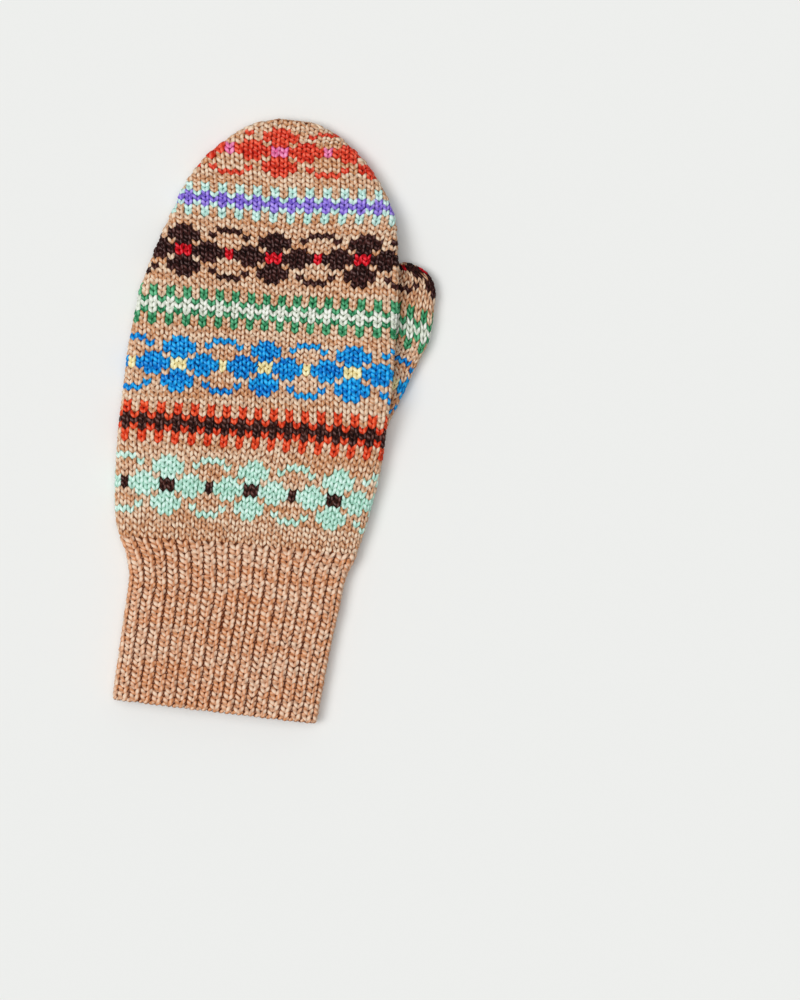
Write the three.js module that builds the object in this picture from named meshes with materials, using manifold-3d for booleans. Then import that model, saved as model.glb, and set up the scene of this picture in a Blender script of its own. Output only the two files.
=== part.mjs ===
// A knitted wool mitten lying flat, back of the hand up: ribbed cuff, hand and thumb.
// Millimetres, +Z up. The mitten's length runs along Y with the fingertips at +Y, and X runs
// across it with the thumb at +X. The origin is the bottom centre of the whole mitten's box.
// Every form is first worked out as across, along and up, with along measured from the
// cast-on edge and across from the middle of that edge.

import * as THREE from "three";
import { mergeVertices } from "three/addons/utils/BufferGeometryUtils.js";
import Module from "manifold-3d";

// Driving dimensions
const MITTEN_LENGTH = 261;
const CUFF_LENGTH = 74;
const PIECE_GAP = 0.3;
const CUFF_WALL = 2.6;
const HAND_WALL = 2.8;
const THUMB_WALL = 2.4;
const RIB_COUNT = 37;
const RIB_DEPTH = 0.7;
const CAST_ON_ROUND = 0.8;
const CUFF_TUCK = 0.6;

// The outline seen from above, with the height of the two layers of knitting as they lie
const BODY_SECTIONS = [
  { along: 0, left: -43.0, right: 45.8, height: 13.0 },
  { along: 30, left: -42.4, right: 47.6, height: 13.5 },
  { along: 52, left: -41.9, right: 49.8, height: 13.5 },
  { along: 64, left: -44.4, right: 50.9, height: 14.0 },
  { along: 77, left: -51.0, right: 55.2, height: 15.0 },
  { along: 95, left: -53.5, right: 58.6, height: 16.0 },
  { along: 120, left: -54.7, right: 61.2, height: 16.5 },
  { along: 150, left: -54.7, right: 61.4, height: 16.5 },
  { along: 175, left: -53.1, right: 60.3, height: 16.0 },
  { along: 198, left: -48.0, right: 58.6, height: 15.5 },
  { along: 220, left: -41.0, right: 55.0, height: 14.5 },
];

// The fingertips close along a round curve past the last of those sections
const TIP_START = 220;
const TIP_CENTRE_END = 5.5;
const TIP_OUTLINE_POWER = 1.3;
const TIP_HEIGHT_POWER = 3;

// The thumb lies on the surface beside and partly under the hand
const THUMB_SECTIONS = [
  { along: 110, centre: 38.0, half: 12.0, low: 3.4, high: 11.4 },
  { along: 125, centre: 43.0, half: 15.5, low: 0.4, high: 11.2 },
  { along: 134, centre: 45.5, half: 16.5, low: 0, high: 11.2 },
  { along: 146, centre: 49.5, half: 16.8, low: 0, high: 11.0 },
  { along: 160, centre: 54.4, half: 16.4, low: 0, high: 11.0 },
  { along: 174, centre: 59.4, half: 16.2, low: 0, high: 11.0 },
  { along: 188, centre: 60.4, half: 15.4, low: 0, high: 10.6 },
];
const THUMB_BASE = 126;
const THUMB_TIP_START = 188;
const THUMB_END = 206;
const THUMB_TIP_CENTRE_END = 61.5;
const THUMB_TIP_POWER = 2.2;

// The hand is lifted where it lies over the thumb, its palm side sharply along the thumb's
// edge and its back softly over a wide slope, and sinks again past the thumb's tip
const LIFT_SECTIONS = [
  { along: 100, edge: 26, palm: 0, back: 0 },
  { along: 118, edge: 26, palm: 0, back: 1.2 },
  { along: 126, edge: 27, palm: 2.0, back: 3.0 },
  { along: 134, edge: 29, palm: 7.0, back: 5.2 },
  { along: 144, edge: 32, palm: 11.4, back: 7.4 },
  { along: 174, edge: 43, palm: 11.9, back: 8.4 },
  { along: 198, edge: 46, palm: 11.4, back: 7.8 },
  { along: 214, edge: 46, palm: 6.5, back: 5.0 },
  { along: 232, edge: 44, palm: 1.2, back: 1.6 },
  { along: 246, edge: 42, palm: 0, back: 0 },
];
const PALM_RAMP_OUTSIDE = 17;
const PALM_RAMP_INSIDE = 3;
const BACK_RAMP_START = -14;
const BACK_RAMP_END = 56;

// Shape of a section: how square its folded edges are, and how high the fold lies
const EDGE_POWER = 3.2;
const FOLD_LEVEL = 0.46;
const UNDERSIDE_FLATNESS = 1.16;
const DENSE_STEPS = 480;

// How finely each surface is divided
const POINTS_PER_RIB = 4;
const CUFF_RINGS = 8;
const CUFF_INSIDE_POINTS = 44;
const HAND_POINTS = 60;
const HAND_RINGS = 19;
const HAND_INSIDE_POINTS = 40;
const HAND_INSIDE_RINGS = 14;
const THUMB_POINTS = 28;
const THUMB_RINGS = 9;
const THUMB_INSIDE_POINTS = 22;
const HAND_TIP_RINGS = 9;
const THUMB_TIP_RINGS = 6;
const CUT_OVERLAP = 6;

// Wool colours
const CUFF_WOOL = new THREE.Color(0.78, 0.6, 0.46);
const HAND_WOOL = new THREE.Color(0.8, 0.66, 0.52);
const THUMB_WOOL = new THREE.Color(0.8, 0.65, 0.51);
const WOOL_ROUGHNESS = 0.95;

const wasm = await Module();
wasm.setup();

// Reads one column of a table of sections, smoothly and without overshoot between its rows
function smoothColumn(table, column, along) {
  const last = table.length - 1;
  if (along <= table[0].along) return table[0][column];
  if (along >= table[last].along) return table[last][column];
  const row = table.findIndex((section) => section.along > along) - 1;
  const slope = (i) =>
    (table[i + 1][column] - table[i][column]) / (table[i + 1].along - table[i].along);
  const tangent = (i) => {
    if (i === 0) return slope(0);
    if (i === last) return slope(last - 1);
    const before = slope(i - 1);
    const after = slope(i);
    return before * after <= 0 ? 0 : (2 * before * after) / (before + after);
  };
  const span = table[row + 1].along - table[row].along;
  const t = (along - table[row].along) / span;
  const startWeight = (1 + 2 * t) * (1 - t) ** 2;
  const startTangentWeight = t * (1 - t) ** 2;
  const endWeight = t * t * (3 - 2 * t);
  const endTangentWeight = t * t * (t - 1);
  return (
    startWeight * table[row][column] +
    startTangentWeight * span * tangent(row) +
    endWeight * table[row + 1][column] +
    endTangentWeight * span * tangent(row + 1)
  );
}

// How far a point of the hand is raised by the thumb beneath it; share is 0 on the palm
// side and 1 on the back
function liftAt(across, along, share) {
  const edge = smoothColumn(LIFT_SECTIONS, "edge", along);
  const palmSlope = THREE.MathUtils.smoothstep(
    across,
    edge - PALM_RAMP_OUTSIDE,
    edge + PALM_RAMP_INSIDE,
  );
  const backSlope = THREE.MathUtils.smoothstep(across, BACK_RAMP_START, BACK_RAMP_END);
  const palm = smoothColumn(LIFT_SECTIONS, "palm", along) * palmSlope;
  const back = smoothColumn(LIFT_SECTIONS, "back", along) * backSlope;
  return THREE.MathUtils.lerp(palm, back, share);
}

// The body's section at a place along it, drawn in by inset on every side
function bodySection(along, inset) {
  const tipReach = MITTEN_LENGTH - TIP_START - inset;
  const tip = Math.max(0, (along - TIP_START) / tipReach);
  const left = smoothColumn(BODY_SECTIONS, "left", along) + inset;
  const right = smoothColumn(BODY_SECTIONS, "right", along) - inset;
  const height = smoothColumn(BODY_SECTIONS, "height", along) - 2 * inset;
  const centre = (left + right) / 2;
  const narrowing = Math.sqrt(1 - tip ** TIP_OUTLINE_POWER);
  const tipHeight = height * Math.sqrt(1 - tip ** TIP_HEIGHT_POWER);
  const middle = inset + height * FOLD_LEVEL;
  return {
    along,
    centre: THREE.MathUtils.lerp(centre, TIP_CENTRE_END, tip),
    half: ((right - left) / 2) * narrowing,
    low: middle - tipHeight * FOLD_LEVEL,
    high: middle + tipHeight * (1 - FOLD_LEVEL),
    raised: true,
  };
}

// The thumb's section at a place along it, drawn in by inset on every side
function thumbSection(along, inset) {
  const tipReach = THUMB_END - THUMB_TIP_START - inset;
  const tip = Math.max(0, (along - THUMB_TIP_START) / tipReach);
  const rounding = (1 - tip ** THUMB_TIP_POWER) ** (1 / THUMB_TIP_POWER);
  const low = smoothColumn(THUMB_SECTIONS, "low", along) + inset;
  const high = smoothColumn(THUMB_SECTIONS, "high", along) - inset;
  const centre = smoothColumn(THUMB_SECTIONS, "centre", along);
  const middle = THREE.MathUtils.lerp(low, high, FOLD_LEVEL);
  return {
    along,
    centre: THREE.MathUtils.lerp(centre, THUMB_TIP_CENTRE_END, tip),
    half: (smoothColumn(THUMB_SECTIONS, "half", along) - inset) * rounding,
    low: middle - (middle - low) * rounding,
    high: middle + (high - middle) * rounding,
    raised: false,
  };
}

// One point of a section's outline; turn is 0 at the thumb-side fold and a quarter at the top
function outlinePoint(section, turn) {
  const cosine = Math.cos(turn);
  const sine = Math.sin(turn);
  const fold = THREE.MathUtils.lerp(section.low, section.high, FOLD_LEVEL);
  const reach = Math.abs(cosine) ** (2 / EDGE_POWER) * Math.sign(cosine);
  const rise = Math.abs(sine) ** (2 / EDGE_POWER);
  const above = fold + (section.high - fold) * rise;
  const below = fold - (fold - section.low) * UNDERSIDE_FLATNESS * rise;
  return new THREE.Vector2(
    section.centre + section.half * reach,
    sine >= 0 ? above : Math.max(section.low, below),
  );
}

// Evenly spaced points round a section, starting from the middle of the top, each pushed
// out by an amount that depends on its number
function ring(section, count, push = () => 0) {
  const dense = [];
  for (let i = 0; i <= DENSE_STEPS; i += 1) {
    dense.push(outlinePoint(section, Math.PI / 2 + (2 * Math.PI * i) / DENSE_STEPS));
  }
  const lengths = [0];
  for (let i = 1; i <= DENSE_STEPS; i += 1) {
    lengths.push(lengths[i - 1] + dense[i].distanceTo(dense[i - 1]));
  }
  const points = [];
  let step = 0;
  for (let i = 0; i < count; i += 1) {
    const wanted = (lengths[DENSE_STEPS] * i) / count;
    while (lengths[step + 1] < wanted) step += 1;
    const part = (wanted - lengths[step]) / (lengths[step + 1] - lengths[step]);
    const place = dense[step].clone().lerp(dense[step + 1], part);
    const along = dense[step + 1].clone().sub(dense[step]).normalize();
    const outward = new THREE.Vector2(along.y, -along.x);
    place.addScaledVector(outward, push(i));
    place.y = Math.max(section.low, place.y);
    const share = (place.y - section.low) / (section.high - section.low);
    const lift = section.raised ? liftAt(place.x, section.along, share) : 0;
    points.push(new THREE.Vector3(place.x, section.along, place.y + lift));
  }
  return points;
}

// A closed solid through rings of equal numbers of points; its first end is closed flat, and
// its last end comes to a point that lies past the last ring by tipRise
function loft(rings, tipRise = 0) {
  const count = rings[0].length;
  const positions = rings.flat().flatMap((point) => point.toArray());
  const ends = [rings[0], rings[rings.length - 1]].map((points) => {
    const sum = new THREE.Vector3();
    points.forEach((point) => sum.add(point));
    return sum.divideScalar(count);
  });
  ends[1].y += tipRise;
  const firstEnd = rings.length * count;
  ends.forEach((end) => positions.push(...end.toArray()));
  const triangles = [];
  for (let row = 0; row < rings.length - 1; row += 1) {
    for (let i = 0; i < count; i += 1) {
      const next = (i + 1) % count;
      const here = row * count;
      const beyond = here + count;
      triangles.push(here + i, beyond + next, here + next);
      triangles.push(here + i, beyond + i, beyond + next);
    }
  }
  const lastRing = (rings.length - 1) * count;
  for (let i = 0; i < count; i += 1) {
    const next = (i + 1) % count;
    triangles.push(firstEnd, i, next);
    triangles.push(firstEnd + 1, lastRing + next, lastRing + i);
  }
  const geometry = new THREE.BufferGeometry();
  geometry.setAttribute("position", new THREE.Float32BufferAttribute(positions, 3));
  geometry.setIndex(triangles);
  return geometry;
}

// Evenly spaced places from start to end, both included
function evenPlaces(start, end, count) {
  return Array.from({ length: count }, (_, i) => THREE.MathUtils.lerp(start, end, i / (count - 1)));
}

// Places that crowd towards a round tip, so that its rings are evenly spaced round the curve
function tipPlaces(start, reach, count) {
  const places = [];
  for (let i = 1; i < count; i += 1) {
    places.push(start + reach * Math.sin((Math.PI / 2) * (i / count)));
  }
  return places;
}

// A solid that ends in a round tip, through the sections at even places and then at crowded
// ones, where sectionAt gives the section at a place
function tippedForm(sectionAt, start, tipStart, end, rings, tipRings, points) {
  const places = [
    ...evenPlaces(start, tipStart, rings),
    ...tipPlaces(tipStart, end - tipStart, tipRings),
  ];
  const tipRise = end - places[places.length - 1];
  return toSolid(loft(places.map((along) => ring(sectionAt(along), points)), tipRise));
}

function toSolid(geometry) {
  const merged = mergeVertices(geometry);
  return new wasm.Manifold(
    new wasm.Mesh({
      numProp: 3,
      vertProperties: new Float32Array(merged.attributes.position.array),
      triVerts: new Uint32Array(merged.index.array),
    }),
  );
}

function toGeometry(solid) {
  const mesh = solid.getMesh();
  const geometry = new THREE.BufferGeometry();
  geometry.setAttribute("position", new THREE.Float32BufferAttribute(mesh.vertProperties, 3));
  geometry.setIndex(Array.from(mesh.triVerts));
  return geometry;
}

// Outer form of the cuff, ribbed lengthwise, its cast-on edge rounded in
function cuffForm() {
  const count = RIB_COUNT * POINTS_PER_RIB;
  const top = CUFF_LENGTH - PIECE_GAP / 2;
  const places = [CAST_ON_ROUND, ...evenPlaces(0, top, CUFF_RINGS).slice(1)];
  const rib = (i) => RIB_DEPTH * Math.cos((2 * Math.PI * i) / POINTS_PER_RIB);
  const edge = ring(bodySection(0, CUFF_TUCK), count, (i) => rib(i) / 2);
  return toSolid(loft([edge, ...places.map((along) => ring(bodySection(along, 0), count, rib))]));
}

// The hollow of the cuff, open at both ends
function cuffHollow() {
  const places = evenPlaces(-CUT_OVERLAP, CUFF_LENGTH + CUT_OVERLAP, CUFF_RINGS);
  return toSolid(
    loft(places.map((along) => ring(bodySection(along, CUFF_WALL), CUFF_INSIDE_POINTS))),
  );
}

// The hand's form from a place above the cuff to the fingertips, drawn in by inset
function handForm(start, inset, points, rings) {
  const end = MITTEN_LENGTH - inset;
  const sectionAt = (along) => bodySection(along, inset);
  return tippedForm(sectionAt, start, TIP_START, end, rings, HAND_TIP_RINGS, points);
}

// The thumb's form from a place near its base to its round tip, drawn in by inset
function thumbForm(start, inset, points) {
  const end = THUMB_END - inset;
  const sectionAt = (along) => thumbSection(along, inset);
  return tippedForm(sectionAt, start, THUMB_TIP_START, end, THUMB_RINGS, THUMB_TIP_RINGS, points);
}

function woolMesh(name, solid, colour) {
  const wool = new THREE.MeshStandardMaterial({
    color: colour,
    roughness: WOOL_ROUGHNESS,
    metalness: 0,
  });
  const mesh = new THREE.Mesh(toGeometry(solid), wool);
  mesh.name = name;
  return mesh;
}

// The three knitted pieces: the thumb's hollow runs on through the palm into the hand's
const handStart = CUFF_LENGTH + PIECE_GAP / 2;
const thumbHollow = thumbForm(THUMB_SECTIONS[0].along, THUMB_WALL, THUMB_INSIDE_POINTS);
const handHollow = handForm(
  handStart - CUT_OVERLAP,
  HAND_WALL,
  HAND_INSIDE_POINTS,
  HAND_INSIDE_RINGS,
);
const handWithClearance = handForm(handStart, -PIECE_GAP, HAND_POINTS, HAND_RINGS);
const cuff = cuffForm().subtract(cuffHollow());
const hand = handForm(handStart, 0, HAND_POINTS, HAND_RINGS)
  .subtract(handHollow)
  .subtract(thumbHollow);
const thumb = thumbForm(THUMB_BASE, 0, THUMB_POINTS)
  .subtract(thumbHollow)
  .subtract(handWithClearance);

const mitten = new THREE.Group();
mitten.add(woolMesh("cuff", cuff, CUFF_WOOL));
mitten.add(woolMesh("hand", hand, HAND_WOOL));
mitten.add(woolMesh("thumb", thumb, THUMB_WOOL));

// Puts the origin at the bottom centre of the whole mitten's box
const box = new THREE.Box3().setFromObject(mitten);
const middle = box.getCenter(new THREE.Vector3());
for (const mesh of mitten.children) {
  mesh.geometry.translate(-middle.x, -middle.y, -box.min.z);
}

export default mitten;
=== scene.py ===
"""A knitted mitten with flower and border bands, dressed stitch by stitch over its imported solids.

The shapes are worked out in millimetres as (across, along, up): along runs from the cast-on edge
to the fingertips and up from the surface that the mitten lies on.
"""

import logging
import math
from dataclasses import dataclass, replace
from enum import Enum
from typing import Callable

import bpy
import numpy as np
from mathutils import Matrix, Vector


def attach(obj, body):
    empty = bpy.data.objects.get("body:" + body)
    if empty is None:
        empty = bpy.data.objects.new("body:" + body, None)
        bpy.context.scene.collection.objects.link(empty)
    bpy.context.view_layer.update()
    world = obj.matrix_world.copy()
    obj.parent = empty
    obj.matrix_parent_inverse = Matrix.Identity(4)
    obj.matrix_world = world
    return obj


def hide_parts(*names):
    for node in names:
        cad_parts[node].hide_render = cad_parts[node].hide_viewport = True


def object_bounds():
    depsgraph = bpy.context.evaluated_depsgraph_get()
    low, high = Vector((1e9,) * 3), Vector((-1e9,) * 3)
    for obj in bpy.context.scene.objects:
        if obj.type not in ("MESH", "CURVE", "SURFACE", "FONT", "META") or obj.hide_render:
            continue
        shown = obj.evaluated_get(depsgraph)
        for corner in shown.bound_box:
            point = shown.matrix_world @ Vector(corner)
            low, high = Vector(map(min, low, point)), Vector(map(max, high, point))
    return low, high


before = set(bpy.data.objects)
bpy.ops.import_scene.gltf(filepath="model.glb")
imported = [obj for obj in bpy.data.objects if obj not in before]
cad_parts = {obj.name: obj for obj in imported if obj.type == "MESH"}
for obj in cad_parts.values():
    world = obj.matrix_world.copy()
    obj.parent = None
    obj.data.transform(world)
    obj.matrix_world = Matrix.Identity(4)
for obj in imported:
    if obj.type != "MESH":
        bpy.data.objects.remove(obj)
cad_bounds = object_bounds()

log = logging.getLogger("mitten")

MM = 0.001
BODY = "root"
CUFF_END = 74.15  # where the hand starts along the mitten, in millimetres
THIN = 1e-6  # the least height and width that is divided by, in millimetres
TINY = 1e-9  # the least length of a vector, and the least spread of a drift

Array = np.ndarray
Colour = tuple[float, float, float]
WHITE: Colour = (255, 255, 255)
Window = tuple[tuple[float, float], tuple[float, float]]
Edges = Callable[[Array, Array], Array]


# Forms of the mitten


@dataclass(frozen=True)
class SizeTable:
    """Sizes listed at places along the mitten and read smoothly between them."""

    names: tuple[str, ...]
    rows: tuple[tuple[float, ...], ...]

    def read(self, name: str, along: Array) -> Array:
        """Reads one size without overshoot between the listed places.

        Args:
            name: The column's name.
            along: Places along the mitten, in millimetres.

        Returns:
            The size at each place, in millimetres.
        """
        data = np.array(self.rows)
        places, sizes = data[:, 0], data[:, self.names.index(name)]
        slopes = np.diff(sizes) / np.diff(places)
        before, after = slopes[:-1], slopes[1:]
        same_way = before * after > 0
        total = np.where(same_way, before + after, 1.0)
        inner = np.where(same_way, 2 * before * after / total, 0.0)
        tangents = np.concatenate([slopes[:1], inner, slopes[-1:]])
        place = np.clip(along, places[0], places[-1])
        row = np.clip(np.searchsorted(places, place, side="right") - 1, 0, len(places) - 2)
        span = places[row + 1] - places[row]
        t = (place - places[row]) / span
        return (
            (1 + 2 * t) * (1 - t) ** 2 * sizes[row]
            + t * (1 - t) ** 2 * span * tangents[row]
            + t * t * (3 - 2 * t) * sizes[row + 1]
            + t * t * (t - 1) * span * tangents[row + 1]
        )


BODY_SECTIONS = SizeTable(
    ("along", "left", "right", "height"),
    (
        (0, -43.0, 45.8, 13.0),
        (30, -42.4, 47.6, 13.5),
        (52, -41.9, 49.8, 13.5),
        (64, -44.4, 50.9, 14.0),
        (77, -51.0, 55.2, 15.0),
        (95, -53.5, 58.6, 16.0),
        (120, -54.7, 61.2, 16.5),
        (150, -54.7, 61.4, 16.5),
        (175, -53.1, 60.3, 16.0),
        (198, -48.0, 58.6, 15.5),
        (220, -41.0, 55.0, 14.5),
    ),
)
THUMB_SECTIONS = SizeTable(
    ("along", "centre", "half", "low", "high"),
    (
        (110, 38.0, 12.0, 3.4, 11.4),
        (125, 43.0, 15.5, 0.4, 11.2),
        (134, 45.5, 16.5, 0.0, 11.2),
        (146, 49.5, 16.8, 0.0, 11.0),
        (160, 54.4, 16.4, 0.0, 11.0),
        (174, 59.4, 16.2, 0.0, 11.0),
        (188, 60.4, 15.4, 0.0, 10.6),
    ),
)
LIFT_SECTIONS = SizeTable(
    ("along", "edge", "palm", "back"),
    (
        (100, 26.0, 0.0, 0.0),
        (118, 26.0, 0.0, 1.2),
        (126, 27.0, 2.0, 3.0),
        (134, 29.0, 7.0, 5.2),
        (144, 32.0, 11.4, 7.4),
        (174, 43.0, 11.9, 8.4),
        (198, 46.0, 11.4, 7.8),
        (214, 46.0, 6.5, 5.0),
        (232, 44.0, 1.2, 1.6),
        (246, 42.0, 0.0, 0.0),
    ),
)


def smooth_step(value: Array, start: float, end: float) -> Array:
    """Rises smoothly from 0 at start to 1 at end."""
    t = np.clip((value - start) / (end - start), 0, 1)
    return t * t * (3 - 2 * t)


@dataclass(frozen=True)
class Section:
    """The outline of a flattened tube at places along it, in millimetres."""

    centre: Array
    half: Array
    low: Array
    high: Array


@dataclass(frozen=True)
class TubeForm:
    """A flattened tube of knitting with a round tip."""

    length: float
    edge_power: float = 3.2
    fold_level: float = 0.46
    underside_flatness: float = 1.16

    def section(self, along: Array, inset: float) -> Section:
        """The section at places along the tube, drawn in by inset on every side."""
        raise NotImplementedError

    def lifts(self, across: Array, along: Array) -> tuple[Array, Array]:
        """How far the palm side and the back are raised at places on the tube."""
        return np.zeros_like(across), np.zeros_like(across)

    def point(self, along: Array, angle: Array, inset: float = 0.0) -> Array:
        """Points on the surface.

        Args:
            along: Places along the tube.
            angle: Turn round the section: 0 at the thumb side, a quarter turn at the back.
            inset: How far the surface is drawn in.

        Returns:
            An array of points (across, along, up).
        """
        section = self.section(along, inset)
        cosine, sine = np.cos(angle), np.sin(angle)
        power = self.edge_power
        size = (np.abs(cosine) ** power + np.abs(sine) ** power) ** (-1 / power)
        reach, rise = cosine * size, sine * size
        fold = section.low + (section.high - section.low) * self.fold_level
        across = section.centre + section.half * reach
        above = fold + (section.high - fold) * rise
        below = fold + (fold - section.low) * self.underside_flatness * rise
        up = np.where(rise >= 0, above, np.maximum(section.low, below))
        share = (up - section.low) / np.maximum(section.high - section.low, THIN)
        palm, back = self.lifts(across, along)
        return np.stack([across, along + 0 * across, up + palm + (back - palm) * share], axis=-1)

    def contains(self, points: Array, inset: float) -> Array:
        """Tells which points lie inside the form drawn in by inset."""
        across, along, up = points[..., 0], points[..., 1], points[..., 2]
        section = self.section(along, inset)
        palm, back = self.lifts(across, along)
        height = np.maximum(section.high - section.low, THIN)
        share = (up - section.low - palm) / np.maximum(height + back - palm, THIN)
        level = section.low + share * height
        fold = section.low + height * self.fold_level
        above = (level - fold) / np.maximum(section.high - fold, THIN)
        below = (fold - level) / np.maximum((fold - section.low) * self.underside_flatness, THIN)
        rise = np.where(level >= fold, above, below)
        reach = np.abs(across - section.centre) / np.maximum(section.half, THIN)
        inside = reach**self.edge_power + np.abs(rise) ** self.edge_power < 1
        return inside & (share > 0) & (share < 1) & (along < self.length - inset)


@dataclass(frozen=True)
class BodyForm(TubeForm):
    """Cuff and hand in one outline, raised where the hand lies over the thumb."""

    length: float = 261.0
    tip_start: float = 220.0
    tip_centre_end: float = 5.5
    tip_outline_power: float = 1.3
    tip_height_power: float = 3.0
    palm_ramp: tuple[float, float] = (17.0, 3.0)
    back_ramp: tuple[float, float] = (-14.0, 56.0)

    def section(self, along: Array, inset: float) -> Section:
        """The section at places along the body, drawn in by inset on every side."""
        tip = np.clip((along - self.tip_start) / (self.length - self.tip_start - inset), 0, 1)
        left = BODY_SECTIONS.read("left", along) + inset
        right = BODY_SECTIONS.read("right", along) - inset
        height = BODY_SECTIONS.read("height", along) - 2 * inset
        middle = inset + height * self.fold_level
        tip_height = height * np.sqrt(1 - tip**self.tip_height_power)
        centre = (left + right) / 2
        return Section(
            centre=centre + (self.tip_centre_end - centre) * tip,
            half=(right - left) / 2 * np.sqrt(1 - tip**self.tip_outline_power),
            low=middle - tip_height * self.fold_level,
            high=middle + tip_height * (1 - self.fold_level),
        )

    def lifts(self, across: Array, along: Array) -> tuple[Array, Array]:
        """How far the palm side and the back are raised over the thumb."""
        outside, inside = self.palm_ramp
        edge = LIFT_SECTIONS.read("edge", along)
        palm = LIFT_SECTIONS.read("palm", along) * smooth_step(across - edge, -outside, inside)
        back = LIFT_SECTIONS.read("back", along) * smooth_step(across, *self.back_ramp)
        return palm, back


@dataclass(frozen=True)
class ThumbForm(TubeForm):
    """The thumb, which starts under the hand's edge and leans outwards."""

    length: float = 204.8
    tip_start: float = 188.0
    tip_centre_end: float = 61.9
    tip_power: float = 2.2

    def section(self, along: Array, inset: float) -> Section:
        """The section at places along the thumb, drawn in by inset on every side."""
        tip = np.clip((along - self.tip_start) / (self.length - self.tip_start - inset), 0, 1)
        rounding = (1 - tip**self.tip_power) ** (1 / self.tip_power)
        low = THUMB_SECTIONS.read("low", along) + inset
        high = THUMB_SECTIONS.read("high", along) - inset
        centre = THUMB_SECTIONS.read("centre", along)
        middle = low + (high - low) * self.fold_level
        return Section(
            centre=centre + (self.tip_centre_end - centre) * tip,
            half=(THUMB_SECTIONS.read("half", along) - inset) * rounding,
            low=middle - (middle - low) * rounding,
            high=middle + (high - middle) * rounding,
        )


# Rows of knitting on the forms


@dataclass(frozen=True)
class RowLines:
    """Where the rows of knitting run on a form.

    start gives a row's place along the middle of the back, slope its rise towards the thumb
    side, left and right of the middle, and centre where that middle lies across.
    """

    start: Callable[[Array], Array]
    slope: Callable[[Array], tuple[Array, Array]]
    centre: Callable[[Array], Array]
    blend: float = 14.0

    def along(self, start: Array, across: Array) -> Array:
        """The place along the mitten of each row at places across it."""
        offset = across - self.centre(start)
        left, right = self.slope(start)
        share = smooth_step(offset, -self.blend, self.blend)
        return start + offset * (left + (right - left) * share)


def unit(vectors: Array) -> Array:
    """Scales vectors to length 1."""
    size = np.linalg.norm(vectors, axis=-1, keepdims=True)
    return vectors / np.maximum(size, TINY)


class RowMap:
    """Turns a row and a distance along it into a point and a normal on a form.

    Distances run from the middle of the back, positive towards the thumb side, and right
    round the tube.
    """

    TURNS = 1201
    STEPS = 480
    PASSES = 4
    END_GAP = 0.12

    def __init__(self, form: TubeForm, lines: RowLines, first: float, last: float) -> None:
        """Traces the rows.

        Args:
            form: The form that carries the knitting.
            lines: The rows' lines on it.
            first: The lowest row that is looked up.
            last: The highest row that is looked up.
        """
        self.first = first
        self.rows = np.linspace(first, last, int(round((last - first) * 2)) + 1)
        self.step = self.rows[1] - self.rows[0]
        starts = lines.start(self.rows)
        turn = np.linspace(-math.pi, math.pi, self.TURNS)
        angle = (math.pi / 2 - turn)[None, :]
        along = np.repeat(starts[:, None], self.TURNS, axis=1)
        for _ in range(self.PASSES):
            traced = form.point(along, angle)
            along = lines.along(starts[:, None], traced[..., 0])
            along = np.clip(along, None, form.length - self.END_GAP)
        traced = form.point(along, angle)
        gaps = np.linalg.norm(np.diff(traced, axis=1), axis=2)
        lengths = np.concatenate([np.zeros((len(starts), 1)), np.cumsum(gaps, axis=1)], axis=1)
        self.girth = lengths[:, -1]
        top = np.abs(turn) <= math.pi / 2
        centres = lines.centre(starts)
        fractions = np.arange(self.STEPS) / self.STEPS
        self.points = np.empty((len(starts), self.STEPS, 3))
        self.zero, self.left, self.right = np.empty((3, len(starts)))
        for i, length in enumerate(lengths):
            self.zero[i] = np.interp(centres[i], traced[i, top, 0], length[top])
            self.left[i] = np.interp(-math.pi / 2, turn, length) - self.zero[i]
            self.right[i] = np.interp(math.pi / 2, turn, length) - self.zero[i]
            for axis in range(3):
                places = fractions * self.girth[i]
                self.points[i, :, axis] = np.interp(places, length, traced[i, :, axis])
        across = np.roll(self.points, -1, axis=1) - np.roll(self.points, 1, axis=1)
        self.normals = unit(np.cross(across, np.gradient(self.points, axis=0)))

    def read(self, values: Array, row: Array) -> Array:
        """Reads a value listed per traced row at any row."""
        return np.interp(row, self.rows, values)

    def locate(self, row: Array, distance: Array) -> tuple[Array, Array]:
        """Finds points and normals.

        Args:
            row: Rows, whole or not.
            distance: Distances along them from the middle of the back.

        Returns:
            The points and the outward normals.
        """
        place = (distance + self.read(self.zero, row)) / self.read(self.girth, row)
        place = (place % 1.0) * self.STEPS
        column = np.floor(place).astype(int)
        across = (place - column)[..., None]
        column %= self.STEPS
        beside = (column + 1) % self.STEPS
        level = np.clip((row - self.first) / self.step, 0, len(self.rows) - 1.001)
        below = np.floor(level).astype(int)
        upward = (level - below)[..., None]

        def blend(table: Array) -> Array:
            """Reads a table between the four traced points round each place."""
            low = table[below, column] * (1 - across) + table[below, beside] * across
            high = table[below + 1, column] * (1 - across) + table[below + 1, beside] * across
            return low * (1 - upward) + high * upward

        return blend(self.points), unit(blend(self.normals))


# Yarns and charts


def linear(colour: Colour) -> tuple[float, float, float, float]:
    """Turns a colour given as 0 to 255 display values into the shader's linear values."""
    parts = [part / 255 for part in colour]
    line = [c / 12.92 if c <= 0.04045 else ((c + 0.055) / 1.055) ** 2.4 for c in parts]
    return (line[0], line[1], line[2], 1.0)


@dataclass(frozen=True)
class YarnFinish:
    """How one yarn looks: its two plies, the painted shade between stitches and how it is mixed.

    marl says how far its two plies differ, and patches how far whole stitches do.
    """

    name: str
    pale: Colour
    deep: Colour
    # gap is painted shade: the dark colour painted at the strands' feet, in the furrows between
    # plies and on the ground between stitches
    gap: Colour
    marl: float = 0.30
    patches: float = 0.25


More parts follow.
